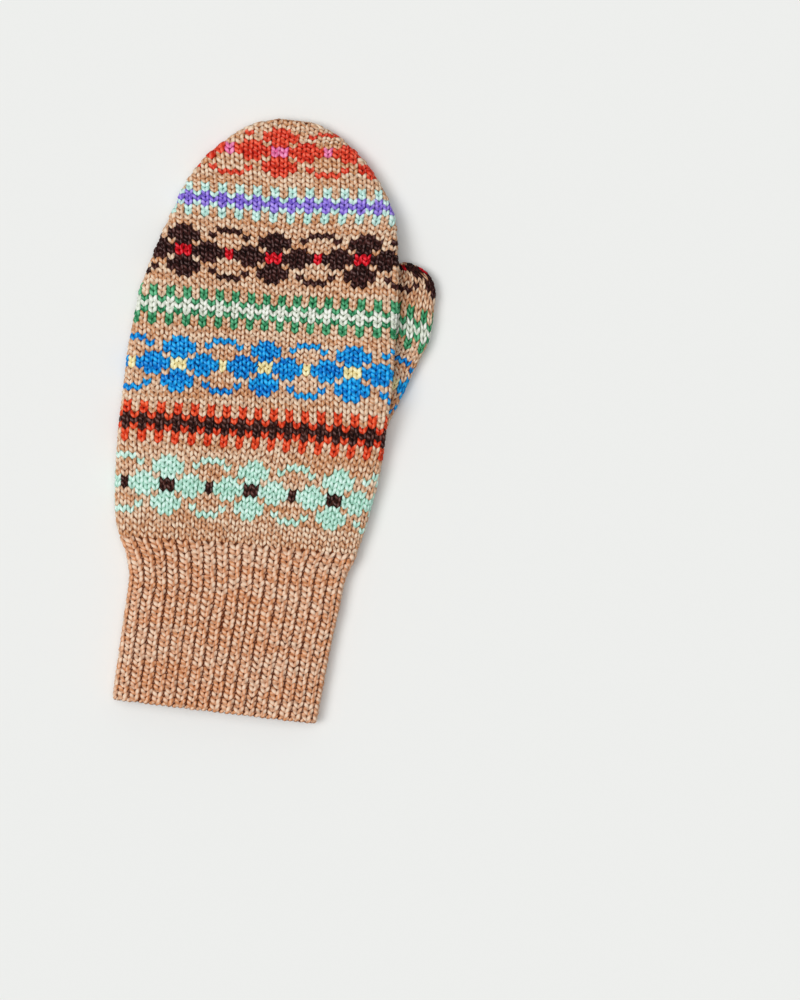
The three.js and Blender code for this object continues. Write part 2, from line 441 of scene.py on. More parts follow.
class Yarn(Enum):
    """The yarns of the mitten."""

    # Each yarn gives its pale ply, its deep ply and the painted shade between its stitches
    OATMEAL = YarnFinish(
        "oatmeal_marl", (242, 216, 187), (216, 156, 109), (130, 54, 18), marl=0.50, patches=0.45
    )
    RIB = YarnFinish(
        "rib_marl", (243, 210, 181), (227, 157, 107), (110, 38, 10), marl=0.50, patches=0.44
    )
    MINT = YarnFinish("mint", (228, 255, 246), (186, 238, 218), (116, 168, 138))
    COCOA = YarnFinish("cocoa", (92, 50, 42), (42, 16, 12), (8, 2, 2))
    ORANGE = YarnFinish("orange", (252, 96, 52), (224, 50, 20), (126, 10, 0))
    BLUE = YarnFinish("blue", (30, 186, 255), (0, 114, 214), (0, 34, 104))
    YELLOW = YarnFinish("yellow", (255, 252, 206), (250, 232, 164), (186, 150, 76))
    GREEN = YarnFinish("green", (98, 190, 136), (28, 126, 78), (0, 52, 24))
    CREAM = YarnFinish("cream", (254, 255, 247), (232, 238, 222), (130, 146, 116))
    BROWN = YarnFinish("brown", (78, 40, 36), (32, 10, 8), (8, 0, 0))
    RED = YarnFinish("red", (252, 34, 50), (204, 0, 18), (80, 0, 0))
    PALE_MINT = YarnFinish("pale_mint", (230, 255, 248), (188, 238, 224), (112, 150, 146))
    PURPLE = YarnFinish("purple", (180, 154, 250), (124, 96, 218), (50, 26, 112))
    CORAL = YarnFinish("coral", (252, 96, 66), (218, 42, 24), (118, 2, 0))
    PINK = YarnFinish("pink", (255, 158, 204), (240, 104, 164), (140, 32, 78))


YARNS = tuple(Yarn)


@dataclass(frozen=True)
class FlowerBand:
    """A row of flowers, ten rows high, repeated every eleven stitches.

    The chart's lines run from the outside to the middle row, M for petals and A for the
    flower's eye.
    """

    first: int
    petals: Yarn
    eye: Yarn
    shift: int = 0
    rows: int = 10
    repeat: int = 11
    chart: tuple[str, ...] = (
        "MM...MM...M",
        "..M.MMMM.M.",
        "....MMMM...",
        "..MM.MM.MM.",
        "AMMMMAAMMMM",
    )

    def yarn(self, row: int, column: int) -> Yarn | None:
        """The yarn of a stitch of the band, or None where the background shows."""
        line = self.chart[min(row, self.rows - 1 - row)]
        mark = line[(column + self.shift) % self.repeat]
        return {"M": self.petals, "A": self.eye}.get(mark)


@dataclass(frozen=True)
class BorderBand:
    """A border of two-stitch teeth with a solid middle, seven rows high."""

    first: int
    teeth: Yarn
    middle: Yarn
    shift: int = 0
    rows: int = 7

    def yarn(self, row: int, column: int) -> Yarn | None:
        """The yarn of a stitch of the band, or None where the background shows."""
        tall = (column + self.shift) % 2 == 0
        from_middle = abs(row - self.rows // 2)
        if from_middle == 0 or (tall and from_middle == 1):
            return self.middle
        if from_middle == 1 or tall:
            return self.teeth
        return None


Band = FlowerBand | BorderBand

HAND_BANDS: tuple[Band, ...] = (
    FlowerBand(3, Yarn.MINT, Yarn.COCOA),
    BorderBand(15, Yarn.ORANGE, Yarn.COCOA, shift=1),
    FlowerBand(24, Yarn.BLUE, Yarn.YELLOW),
    BorderBand(36, Yarn.GREEN, Yarn.CREAM, shift=1),
    FlowerBand(45, Yarn.BROWN, Yarn.RED),
    BorderBand(57, Yarn.PALE_MINT, Yarn.PURPLE, shift=1),
    FlowerBand(66, Yarn.CORAL, Yarn.PINK),
)
THUMB_BANDS: tuple[Band, ...] = (
    FlowerBand(6, Yarn.BLUE, Yarn.YELLOW, shift=9),
    BorderBand(18, Yarn.GREEN, Yarn.CREAM),
    FlowerBand(27, Yarn.BROWN, Yarn.RED),
)


def charted_yarn(bands: tuple[Band, ...], row: int, column: int) -> Yarn:
    """The yarn of one stitch, read from the bands that cross it."""
    for band in bands:
        if band.first <= row < band.first + band.rows:
            return band.yarn(row - band.first, column) or Yarn.OATMEAL
    return Yarn.OATMEAL


# Shaders


class Value:
    """A shader socket that takes part in arithmetic: each operation adds one Math node."""

    def __init__(self, graph: "Graph", socket: bpy.types.NodeSocket) -> None:
        """Wraps a socket of a graph."""
        self.graph = graph
        self.socket = socket

    def math(self, operation: str, *others: "Value | float") -> "Value":
        """Adds a Math node that starts with this value."""
        sockets = dict(enumerate((self, *others)))
        return self.graph.add("ShaderNodeMath", {"operation": operation}, sockets)("Value")

    def __add__(self, other: "Value | float") -> "Value":
        """This value plus another."""
        return self.math("ADD", other)

    def __sub__(self, other: "Value | float") -> "Value":
        """This value less another."""
        return self.math("SUBTRACT", other)

    def __mul__(self, other: "Value | float") -> "Value":
        """This value times another."""
        return self.math("MULTIPLY", other)


class Graph:
    """The node tree of one material."""

    def __init__(self, name: str) -> None:
        """Makes an empty material."""
        self.material = bpy.data.materials.new(name)
        self.material.use_nodes = True
        self.tree = self.material.node_tree
        self.tree.nodes.clear()

    def add(
        self, kind: str, settings: dict[str, object] | None = None, sockets: dict | None = None
    ) -> Callable[[str], Value]:
        """Adds a node.

        Args:
            kind: The node's type.
            settings: Its settings, which are set first.
            sockets: Values or links of its sockets, by name, identifier or number.

        Returns:
            A function that gives the node's output of a name or identifier.
        """
        node = self.tree.nodes.new(kind)
        for key, setting in (settings or {}).items():
            setattr(node, key, setting)
        for key, value in (sockets or {}).items():
            socket = self._find(node.inputs, key)
            if isinstance(value, Value):
                self.tree.links.new(value.socket, socket)
            else:
                socket.default_value = value
        return lambda key: Value(self, self._find(node.outputs, key))

    @staticmethod
    def _find(sockets: bpy.types.NodeInputs, key: str | int) -> bpy.types.NodeSocket:
        """Finds a socket by number, identifier or name."""
        if isinstance(key, int):
            return sockets[key]
        for socket in sockets:
            if socket.identifier == key:
                return socket
        return next(socket for socket in sockets if socket.name == key and socket.enabled)

    def attribute(self, name: str) -> tuple[Value, Value, Value]:
        """The three parts of a vector that the mesh carries."""
        vector = self.add("ShaderNodeAttribute", {"attribute_name": name})("Vector")
        parts = self.add("ShaderNodeSeparateXYZ", sockets={"Vector": vector})
        return parts("X"), parts("Y"), parts("Z")

    def ramp(self, value: Value, start: float, end: float) -> Value:
        """Rises smoothly from 0 where value is start to 1 where it is end."""
        settings = {"interpolation_type": "SMOOTHSTEP"}
        sockets = {"Value": value, "From Min": start, "From Max": end}
        return self.add("ShaderNodeMapRange", settings, sockets)("Result")

    def mix(self, factor: Value, first: object, second: object) -> Value:
        """Mixes two colours."""
        settings = {"data_type": "RGBA", "blend_type": "MIX"}
        sockets = {"Factor_Float": factor, "A_Color": first, "B_Color": second}
        return self.add("ShaderNodeMix", settings, sockets)("Result_Color")

    def noise(self, scale: float, detail: float) -> Value:
        """Adds a noise from 0 to 1 over the object's own space."""
        place = self.add("ShaderNodeTexCoord")("Object")
        sockets = {"Vector": place, "Scale": scale, "Detail": detail}
        return self.add("ShaderNodeTexNoise", sockets=sockets)("Fac")

    def bump(self, strength: float, depth: float, relief: Value) -> Value:
        """Turns a relief into a normal."""
        sockets = {"Strength": strength, "Distance": depth, "Height": relief}
        return self.add("ShaderNodeBump", sockets=sockets)("Normal")

    def finish(self, sockets: dict) -> bpy.types.Material:
        """Adds the surface shader with its sockets and the output, and gives the material."""
        surface = self.add("ShaderNodeBsdfPrincipled", sockets=sockets)("BSDF")
        self.add("ShaderNodeOutputMaterial", sockets={"Surface": surface})
        return self.material


def between(first: Colour, second: Colour, share: float) -> Colour:
    """A colour part of the way from the first to the second."""
    return tuple(a + (b - a) * share for a, b in zip(first, second))


@dataclass(frozen=True)
class YarnLook:
    """What all the yarns share: how tightly they are twisted, how woolly they are, and where shade
    and highlight are painted on them.

    Each range gives the values at which a smooth step starts and ends, of the ply's crown
    (0 to 1) or of the height above the ground (0 to 1).
    """

    turns: float = 1.2
    turn_chance: float = 9.0
    turn_waver: float = 0.8
    ply_edge: float = 0.6
    leg_difference: float = 0.22
    # The furrows between the plies are painted with shade, part of the way from the gap shade to
    # the deep ply
    furrow_range: tuple[float, float] = (-0.1, 0.5)
    furrow_share: float = 0.55
    furrow_tone: float = 0.55
    # A painted highlight: the plies' crowns, high on each strand, turn paler towards white
    glint_range: tuple[float, float] = (0.75, 1.3)
    glint_heights: tuple[float, float] = (0.6, 1.0)
    glint_fibres: float = 0.4
    glint_share: float = 0.5
    glint_tone: float = 0.35
    # The strands' feet, low by the ground, are painted with the gap shade
    foot_heights: tuple[float, float] = (0.27, 0.86)
    foot_fibres: float = 0.1
    ply_depth: float = 0.00035
    ply_relief: float = 0.8
    bump_strength: float = 0.9
    fibre_relief: float = 0.35
    fibre_scale: float = 2600.0
    least_roughness: float = 0.79
    roughness_spread: float = 0.1
    sheen: float = 0.02
    specular: float = 0.06

    def material(self, finish: YarnFinish) -> bpy.types.Material:
        """Builds the material of one yarn.

        Args:
            finish: The yarn's colours.

        Returns:
            The material, which reads the twist and stitch vectors of a strand mesh.
        """
        graph = Graph(finish.name)
        cosine, sine, along = graph.attribute("twist")
        chance, drift, height = graph.attribute("stitch")
        fibres = graph.noise(self.fibre_scale, 3.0)
        turned = sine.math("ARCTAN2", cosine) - along * (2 * math.pi * self.turns)
        twist = turned + chance * self.turn_chance + fibres * self.turn_waver
        ply = graph.ramp(twist.math("COSINE"), -self.ply_edge, self.ply_edge)
        crown = (twist * 2.0).math("COSINE") * 0.5 + 0.5
        level = (ply - 0.5) * finish.marl + (drift - 0.5) * (2 * finish.patches)
        level = level + (chance - 0.5) * self.leg_difference + 0.5
        shade = graph.ramp(level, 0.0, 1.0)
        yarn = graph.mix(shade, linear(finish.deep), linear(finish.pale))
        # Painted shade in the furrows between the plies, where the crown is low
        furrow_shade = linear(between(finish.gap, finish.deep, self.furrow_tone))
        cover = graph.ramp(crown, *self.furrow_range)
        cover = cover * self.furrow_share + (1 - self.furrow_share)
        ribbed = graph.mix(cover, furrow_shade, yarn)
        # Painted highlight on the crowns of the plies, high on the strand
        glint = graph.ramp(crown + fibres * self.glint_fibres, *self.glint_range)
        glint = glint * graph.ramp(height, *self.glint_heights)
        shining = linear(between(finish.pale, WHITE, self.glint_tone))
        bright = graph.mix(glint * self.glint_share, ribbed, shining)
        # Painted shade: the strand darkens to its gap shade towards its foot, where the stitches
        # meet
        foot = graph.ramp(height + fibres * self.foot_fibres, *self.foot_heights)
        relief = crown * self.ply_relief + fibres * self.fibre_relief
        return graph.finish(
            {
                "Base Color": graph.mix(foot, linear(finish.gap), bright),
                "Roughness": fibres * self.roughness_spread + self.least_roughness,
                "Normal": graph.bump(self.bump_strength, self.ply_depth, relief),
                "Sheen Weight": self.sheen,
                "Sheen Roughness": 0.5,
                "Specular IOR Level": self.specular,
            }
        )


@dataclass(frozen=True)
class LiningLook:
    """The knitting's ground between and behind the stitches, with the floats of yarn inside, whose
    crests take a painted highlight.
    """

    crest_highlight: Colour = (226, 188, 152)
    crest_share: float = 0.55
    crest_range: tuple[float, float] = (0.1, 1.1)
    row_waver: float = 1.2
    column_relief: float = 0.4
    fibre_relief: float = 0.4
    fibre_scale: float = 2200.0
    float_depth: float = 0.0005
    bump_strength: float = 0.8
    least_roughness: float = 0.91
    roughness_spread: float = 0.06

    def material(self) -> bpy.types.Material:
        """Builds the material, which reads the shade and weave that the mesh carries."""
        graph = Graph("lining")
        shade = graph.add("ShaderNodeAttribute", {"attribute_name": "shade"})("Color")
        place, row, inside = graph.attribute("weave")
        fibres = graph.noise(self.fibre_scale, 3.0)
        rows = (row * (2 * math.pi) + fibres * self.row_waver).math("SINE") * 0.5 + 0.5
        columns = (place * (2 * math.pi)).math("SINE") * 0.5 + 0.5
        relief = rows * (columns * self.column_relief + (1 - self.column_relief))
        relief = relief + fibres * self.fibre_relief
        # Painted highlight: inside, the floats' crests turn paler where the relief is high
        lit = graph.ramp(relief, *self.crest_range) * inside * self.crest_share
        return graph.finish(
            {
                "Base Color": graph.mix(lit, shade, linear(self.crest_highlight)),
                "Roughness": fibres * self.roughness_spread + self.least_roughness,
                "Normal": graph.bump(self.bump_strength, self.float_depth, relief),
                "Specular IOR Level": 0.2,
            }
        )


@dataclass(frozen=True)
class FloorLook:
    """A pale matt sheet of paper."""

    colour: Colour = (238, 239, 237)
    grain_colour: Colour = (228, 229, 227)
    grain_share: float = 0.02
    grain_scale: float = 180.0

    def material(self) -> bpy.types.Material:
        """Builds the material."""
        graph = Graph("floor_paper")
        grain = graph.noise(self.grain_scale, 4.0)
        share = grain * self.grain_share
        bright = graph.mix(share, linear(self.colour), linear(self.grain_colour))
        return graph.finish(
            {"Base Color": bright, "Roughness": grain * 0.05 + 0.9, "Specular IOR Level": 0.1}
        )


class Wardrobe:
    """The materials, each made once."""

    def __init__(self) -> None:
        """Makes every material."""
        look = YarnLook()
        self.yarns = [look.material(yarn.value) for yarn in YARNS]
        self.lining = LiningLook().material()
        self.floor = FloorLook().material()


# Meshes


class Placement:
    """Where the mitten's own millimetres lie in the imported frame."""

    def __init__(self) -> None:
        """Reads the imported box."""
        low = cad_bounds[0]
        left = float(BODY_SECTIONS.read("left", np.array([120.0]))[0])
        self.shift = np.array([low[0] - left * MM, low[1], low[2]])

    def metres(self, points: Array) -> Array:
        """Turns millimetres (across, along, up) into the frame's metres."""
        return points * MM + self.shift


@dataclass
class MeshData:
    """The arrays of one mesh: its faces as one run of corners, and tables with a row per point."""

    points: Array
    corners: Array
    counts: Array
    slots: Array
    map_places: Array
    tables: dict[str, Array]


class PieceMaker:
    """Turns arrays into pieces that ride on the mitten."""

    KINDS = {3: ("FLOAT_VECTOR", "vector"), 4: ("FLOAT_COLOR", "color")}

    def __init__(self, placement: Placement) -> None:
        """Keeps the placement and starts the count of triangles."""
        self.placement = placement
        self.triangles = 0

    def make(
        self,
        name: str,
        data: MeshData,
        materials: list[bpy.types.Material],
        node: str | None = None,
    ) -> None:
        """Makes one piece.

        Args:
            name: The piece's name.
            data: Its arrays, in millimetres.
            materials: The materials that its faces' slots point into.
            node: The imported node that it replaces, if any.
        """
        used = np.unique(data.slots)
        points = self.placement.metres(data.points).astype(np.float32)
        mesh = bpy.data.meshes.new(name)
        mesh.vertices.add(len(points))
        mesh.vertices.foreach_set("co", points.ravel())
        mesh.loops.add(len(data.corners))
        mesh.loops.foreach_set("vertex_index", data.corners.astype(np.int32))
        mesh.polygons.add(len(data.counts))
        starts = np.concatenate([[0], np.cumsum(data.counts)[:-1]])
        mesh.polygons.foreach_set("loop_start", starts.astype(np.int32))
        mesh.polygons.foreach_set("loop_total", data.counts.astype(np.int32))
        mesh.update(calc_edges=True)
        indices = np.searchsorted(used, data.slots).astype(np.int32)
        mesh.polygons.foreach_set("material_index", indices)
        mesh.polygons.foreach_set("use_smooth", np.ones(len(data.counts), bool))
        for index in used:
            mesh.materials.append(materials[index])
        layer = mesh.uv_layers.new(name="OFBake")
        layer.data.foreach_set("uv", data.map_places.astype(np.float32).ravel())
        for key, values in data.tables.items():
            kind, part = self.KINDS[values.shape[1]]
            attribute = mesh.attributes.new(key, kind, "POINT")
            attribute.data.foreach_set(part, values.astype(np.float32).ravel())
        mesh.validate()
        piece = bpy.data.objects.new(name, mesh)
        bpy.context.scene.collection.objects.link(piece)
        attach(piece, BODY)
        if node:
            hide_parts(node)
        count = int((data.counts - 2).sum())
        self.triangles += count
        log.info("%s: %d triangles", name, count)


@dataclass(frozen=True)
class Strand:
    """The shape of one short length of yarn.

    Each line of the path gives a place in rows, a place in stitch widths, a height in
    millimetres and a radius in stitch widths; the two ends have no radius. A paired strand
    has a mirrored one beside it in the same stitch.
    """

    path: tuple[tuple[float, float, float, float], ...]
    sides: int = 6
    paired: bool = True

    def faces(self) -> tuple[Array, Array, Array]:
        """The faces' corners, how many each face has and where the corners lie on a square.

        A face is listed as rings and places round them; the first and last ring are points.
        """
        sides, rings = self.sides, len(self.path) - 2
        faces = [[(0, i + 0.5), (1, i + 1), (1, i)] for i in range(sides)]
        faces += [
            [(ring, i), (ring, i + 1), (ring + 1, i + 1), (ring + 1, i)]
            for ring in range(1, rings)
            for i in range(sides)
        ]
        faces += [[(rings, i), (rings, i + 1), (rings + 1, i + 0.5)] for i in range(sides)]
        ring, side = np.array([corner for face in faces for corner in face]).T
        corners = np.clip(1 + (ring - 1) * sides + side % sides, 0, 1 + rings * sides)
        levels = np.linspace(0, 1, rings + 2)[ring.astype(int)]
        places = np.stack([side / sides, levels], axis=-1)
        return corners.astype(int), np.array([len(face) for face in faces]), places

    def shape(self, width: Array, row: Array, mirror: Array, size: Array) -> tuple[Array, Array]:
        """Works out the strands' points in their stitches' own frames.

        Args:
            width: The stitch widths, in millimetres.
            row: The row heights, in millimetres.
            mirror: 1 or -1 for the right or the left leg of each stitch.
            size: How thick each strand is beside the path's radius.

        Returns:
            Points (across, upward, height) in millimetres and twist vectors.
        """
        path = np.array(self.path)
        centres = np.stack(
            [
                mirror[:, None] * path[:, 1] * width[:, None],
                path[:, 0] * row[:, None],
                np.repeat(path[None, :, 2], len(width), axis=0),
            ],
            axis=-1,
        )
        tangents = unit(np.gradient(centres, axis=1))
        level = np.zeros(tangents.shape[:2])
        sideways = unit(np.stack([tangents[..., 1], -tangents[..., 0], level], axis=-1))
        upward = np.cross(sideways, tangents)
        radius = path[:, 3] * width[:, None] * size[:, None]
        turn = 2 * math.pi * np.arange(self.sides) / self.sides
        cosine, sine = np.cos(turn), np.sin(turn)
        rings = centres[:, 1:-1, None, :] + radius[:, 1:-1, None, None] * (
            cosine[:, None] * sideways[:, 1:-1, None, :] + sine[:, None] * upward[:, 1:-1, None, :]
        )
        count = len(width)
        points = np.concatenate(
            [centres[:, :1], rings.reshape(count, -1, 3), centres[:, -1:]], axis=1
        )
        reach = np.linspace(0, 1, len(path))
        twist = np.concatenate(
            [
                [[0.0, 1.0, reach[0]]],
                [[c, s, along] for along in reach[1:-1] for c, s in zip(cosine, sine)],
                [[0.0, 1.0, reach[-1]]],
            ]
        )
        return points, np.repeat(twist[None], count, axis=0)


@dataclass
class Strands:
    """Strands in place: their shape, points, twist and stitch vectors, and yarn numbers."""

    shape: Strand
    points: Array
    twist: Array
    stitch: Array
    yarns: Array

    MARGIN = 0.06

    def clear_of(self, form: TubeForm, inset: float) -> "Strands":
        """The strands whose middle lies outside a form drawn in by inset."""
        keep = ~form.contains(self.points.mean(axis=1), inset)
        return Strands(
            self.shape, self.points[keep], self.twist[keep], self.stitch[keep], self.yarns[keep]
        )

    def mesh(self) -> MeshData:
        """Joins them into one mesh, each unrolled over its own square of the map."""
        count, per_strand = self.points.shape[:2]
        corners, counts, places = self.shape.faces()
        offsets = np.arange(count)[:, None] * per_strand
        grid = math.ceil(math.sqrt(count))
        cells = np.stack([np.arange(count) % grid, np.arange(count) // grid], axis=-1)
        square = places * (1 - 2 * self.MARGIN) + self.MARGIN
        return MeshData(
            points=self.points.reshape(-1, 3),
            corners=(corners[None] + offsets).ravel(),
            counts=np.tile(counts, count),
            slots=np.repeat(self.yarns, len(counts)),
            map_places=((cells[:, None] + square[None]) / grid).reshape(-1, 2),
            tables={"twist": self.twist.reshape(-1, 3), "stitch": self.stitch.reshape(-1, 3)},
        )


# Stitches


def drifting(count: int, chance: np.random.Generator, reach: int) -> Array:
    """A slowly changing value from 0 to 1 along the yarn, one for each strand."""
    raw = chance.random(count + 4 * reach)
    window = np.hanning(reach + 2)[1:-1]
    smooth = np.convolve(raw, window / window.sum(), mode="same")[2 * reach : 2 * reach + count]
    spread = (smooth - smooth.mean()) / max(smooth.std(), TINY)
    return np.clip(0.5 + 0.25 * spread, 0, 1)


@dataclass
class Cells:
    """Stitches of a knitted fabric in the order of the yarn: rows, edges and yarns."""

    row: Array
    left: Array
    right: Array
    yarn: Array

    def pick(self, keep: Array) -> "Cells":
        """The chosen stitches alone."""
        return Cells(self.row[keep], self.left[keep], self.right[keep], self.yarn[keep])

    def doubled(self) -> "Cells":
        """Every stitch twice, for its two legs."""
        return self.pick(np.repeat(np.arange(len(self.row)), 2))


def chart_cells(
    edges: Edges, columns: range, rows: range, bands: tuple[Band, ...], shift: int = 0
) -> Cells:
    """Lists the stitches between the folds of a form, row by row.

    Args:
        edges: The edges of the columns.
        columns: The columns before any are taken in.
        rows: The rows.
        bands: The bands of the chart.
        shift: What is added to a column to read the chart.

    Returns:
        The stitches, without those that the decreases take in.
    """
    least_width, usual_width = 1.0, 3.5
    found: list[tuple[int, float, float, int]] = []
    numbers = np.arange(columns.start, columns.stop + 1, dtype=float)
    for row in rows:
        level = np.full_like(numbers, row + 0.5)
        widths = np.diff(edges(level, numbers))
        wide = widths[widths > least_width]
        whole = np.median(wide) if len(wide) else usual_width
        live = np.flatnonzero(widths >= 0.5 * whole)
        for i in live:
            left = -np.inf if i == live[0] else numbers[i]
            right = np.inf if i == live[-1] else numbers[i + 1]
            yarn = charted_yarn(bands, row, int(numbers[i]) + shift)
            found.append((row, left, right, YARNS.index(yarn)))
    table = np.array(found)
    return Cells(table[:, 0], table[:, 1], table[:, 2], table[:, 3].astype(int))


def place_of(places: tuple[tuple[float, float], ...], row: Array) -> Array:
    """The place of a row along the middle of the back, from a list of rows and places."""
    return np.interp(row, *np.array(places).T)


def without_ends(column: Array) -> Array:
    """Columns with a nought for each endless one."""
    return np.where(np.isfinite(column), column, 0.0)


def between_sides(line: Array, column: Array, start: Array, end: Array) -> Array:
    """Keeps columns' lines between two sides, with an endless column at the side itself."""
    line = np.where(column == -np.inf, start, np.clip(line, start, end))
    return np.where(column == np.inf, end, line)


KNIT_LEG = Strand(
    (
        (-0.34, 0.02, 0.0, 0.0),
        (-0.04, 0.095, 0.42, 0.175),
        (0.36, 0.215, 0.66, 0.25),
        (0.78, 0.34, 0.60, 0.225),
        (1.08, 0.42, 0.34, 0.14),
        (1.32, 0.475, 0.02, 0.0),
    )
)
THUMB_LEG = Strand(
    (
        (-0.46, 0.0, 0.0, 0.0),
        (-0.10, 0.085, 0.42, 0.165),
        (0.36, 0.215, 0.66, 0.225),
        (0.84, 0.345, 0.60, 0.205),
        (1.20, 0.43, 0.34, 0.13),
        (1.50, 0.49, 0.02, 0.0),
    )
)
RIB_LEG = Strand(
    (
        (-0.36, 0.0, 0.2, 0.0),
        (-0.05, 0.06, 0.72, 0.145),
        (0.35, 0.18, 1.0, 0.19),
        (0.75, 0.30, 0.92, 0.18),
        (1.02, 0.375, 0.52, 0.13),
        (1.24, 0.43, -0.05, 0.0),
    )
)
PURL_BUMP = Strand(
    (
        (0.10, -0.20, -0.2, 0.0),
        (0.25, -0.11, 0.10, 0.085),
        (0.40, 0.0, 0.22, 0.10),
        (0.56, 0.11, 0.10, 0.085),
        (0.68, 0.20, -0.2, 0.0),
    ),
    sides=5,
    paired=False,
)
EDGE_BEAD = Strand(
    (
        (-0.42, -0.34, 0.1, 0.0),
        (-0.30, -0.20, 0.55, 0.14),
        (-0.10, -0.04, 0.75, 0.17),
        (0.12, 0.12, 0.65, 0.15),
        (0.28, 0.24, 0.1, 0.0),
    ),
    paired=False,
)


@dataclass(frozen=True)
class Slack:
    """How unevenly strands lie, and what the shader takes for their foot and their crown, where it
    paints shade and highlight.

    size, shake and lean say how far strands differ in thickness, place in millimetres and
    direction. sharing is how many strands in a row have the same drift, and reach how many
    strands or stitches the drift takes to change.
    """

    size: float = 0.05
    shake: tuple[float, float, float] = (0.07, 0.10, 0.07)
    lean: float = 0.06
    foot: float = 0.0
    crown: float = 1.4
    sharing: int = 2
    reach: int = 9

    def height(self, up: Array) -> Array:
        """The height that the shader reads, 0 at the foot and 1 at the crown."""
        return np.clip((up - self.foot) / (self.crown - self.foot), 0, 1)


@dataclass(frozen=True)
class Fabric:
    """Strands of yarn laid in rows on a form."""

    field: RowMap
    edges: Edges
    row_height: float
    slack: Slack = Slack()

    def lay(
        self,
        strand: Strand,
        cells: Cells,
        sink: float | Array,
        seed: int,
        inward: bool = False,
    ) -> Strands:
        """Shapes and places the strands of stitches.

        Args:
            strand: Their shape.
            cells: The stitches.
            sink: How far below the form the strands' height is counted from.
            seed: What the small differences start from.
            inward: Whether they stand on the inside of the form.

        Returns:
            The strands in place.
        """
        if strand.paired:
            cells = cells.doubled()
        slack, chance, count = self.slack, np.random.default_rng(seed), len(cells.row)
        mirror = np.tile([-1.0, 1.0], count // 2) if strand.paired else np.ones(count)
        row = cells.row.astype(float)
        width = self.edges(row + 0.5, cells.right) - self.edges(row + 0.5, cells.left)
        size = 1 + chance.normal(0, slack.size, count)
        points, twist = strand.shape(width, np.full(count, self.row_height), mirror, size)
        local = points + chance.normal(0, 1, (count, 1, 3)) * np.array(slack.shake)
        local[..., 0] += chance.normal(0, slack.lean, (count, 1)) * local[..., 1]
        outward = -1 if inward else 1
        level = row[:, None] + local[..., 1] / self.row_height
        near = self.edges(level, np.broadcast_to(cells.left[:, None], level.shape))
        far = self.edges(level, np.broadcast_to(cells.right[:, None], level.shape))
        share = outward * local[..., 0] / width[:, None] + 0.5
        base, normal = self.field.locate(level, near + share * (far - near))
        depth = np.broadcast_to(sink, (count,))[:, None]
        placed = base + normal * (outward * local[..., 2] - depth)[..., None]
        stitch = np.empty_like(placed)
        stitch[..., 0] = chance.random(count)[:, None]
        drift = drifting(count // slack.sharing, chance, slack.reach)
        stitch[..., 1] = np.repeat(drift, slack.sharing)[:, None]
        stitch[..., 2] = slack.height(local[..., 2])
        return Strands(strand, placed, twist, stitch, cells.yarn)


# The ground behind the stitches

# A tube's closing ring: how far beyond the last ring, in millimetres, and how wide beside it
END_RISE = 0.3
END_SHARE = 0.8
# The ground's painted shade, part of the way from a yarn's gap shade to its deep ply, and the
# colour inside
GROUND_TONE = 0.35
INNER_COLOUR: Colour = (150, 104, 74)
# What the outside and the inside of a lining take of its map
OUTER_MAP: Window = ((0.0, 0.0), (1.0, 0.5))
INNER_MAP: Window = ((0.0, 0.52), (1.0, 1.0))


def painted_ground_shades(
    field: RowMap, sides: list[tuple[Edges, Cells]], rows: Array, distance: Array
) -> Array:
    """The painted shade of the ground behind each stitch, darker than the stitch's yarn.

    Args:
        field: The rows on the form.
        sides: The stitches round the form, each side with the edges of its columns.
        rows: The rows of the ground's rings.
        distance: The distances of the points of each ring.

    Returns:
        A colour for every point.
    """
    gaps = np.array([linear(between(y.value.gap, y.value.deep, GROUND_TONE)) for y in YARNS])
    shade = np.empty(distance.shape + (4,))
    first, last = sides[0][1].row[0], sides[0][1].row[-1]
    for i, level in enumerate(rows):
        row = np.clip(np.floor(level), first, last)
        starts, yarns = [], []
        for edges, cells in sides:
            here = cells.pick(cells.row == row)
            starts.append(edges(here.row + 0.5, here.left))
            yarns.append(here.yarn)
        start, yarn = np.concatenate(starts), np.concatenate(yarns)
        place = (distance[i] - start[0]) % field.read(field.girth, level)
        found = np.searchsorted(start - start[0], place, side="right") - 1
        shade[i] = gaps[yarn[np.clip(found, 0, len(yarn) - 1)]]
    return shade


def evenly(colour: Colour, shape: tuple[int, ...]) -> Array:
    """One colour for every point of rings."""
    return np.broadcast_to(np.array(linear(colour)), shape + (4,))


def ground_grid(points: Array, shade: Array, weave: Array, window: Window, flip: bool) -> MeshData:
    """A closed band of faces through rings of points.

    Args:
        points: The rings, one line of points for each.
        shade: The colour of every point.
        weave: The weave vector of every point.
        window: The lowest and highest places of the band on the piece's map.
        flip: Whether the faces look inwards.

    Returns:
        The arrays of the mesh.
    """
    rings, count = points.shape[:2]
    ring, place = np.meshgrid(np.arange(rings - 1), np.arange(count), indexing="ij")
    beside = (place + 1) % count
    low, high = ring * count, (ring + 1) * count
    faces = np.stack([low + place, low + beside, high + beside, high + place], axis=-1)
    across = np.stack([place, place + 1, place + 1, place], axis=-1) / count
    upward = np.stack([ring, ring, ring + 1, ring + 1], axis=-1) / (rings - 1)
    if flip:
        faces, across, upward = faces[..., ::-1], across[..., ::-1], upward[..., ::-1]
    (left, bottom), (right, top) = window
    places = np.stack([left + across * (right - left), bottom + upward * (top - bottom)], -1)
    return MeshData(
        points=points.reshape(-1, 3),
        corners=faces.reshape(-1),
        counts=np.full(faces.shape[0] * faces.shape[1], 4),
        slots=np.zeros(faces.shape[0] * faces.shape[1], int),
        map_places=places.reshape(-1, 2),
        tables={"weave": weave.reshape(-1, 3), "shade": shade.reshape(-1, 4)},
    )


def closed_end(points: Array) -> Array:
    """Adds a last ring that lies in the middle of the one before, to close a tube's end."""
    last = points[-1].copy()
    last[:, 0] = last[:, 0].mean() + (last[:, 0] - last[:, 0].mean()) * END_SHARE
    last[:, 1] += END_RISE
    last[:, 2] = (last[:, 2].min() + last[:, 2].max()) / 2
    return np.concatenate([points, last[None]])


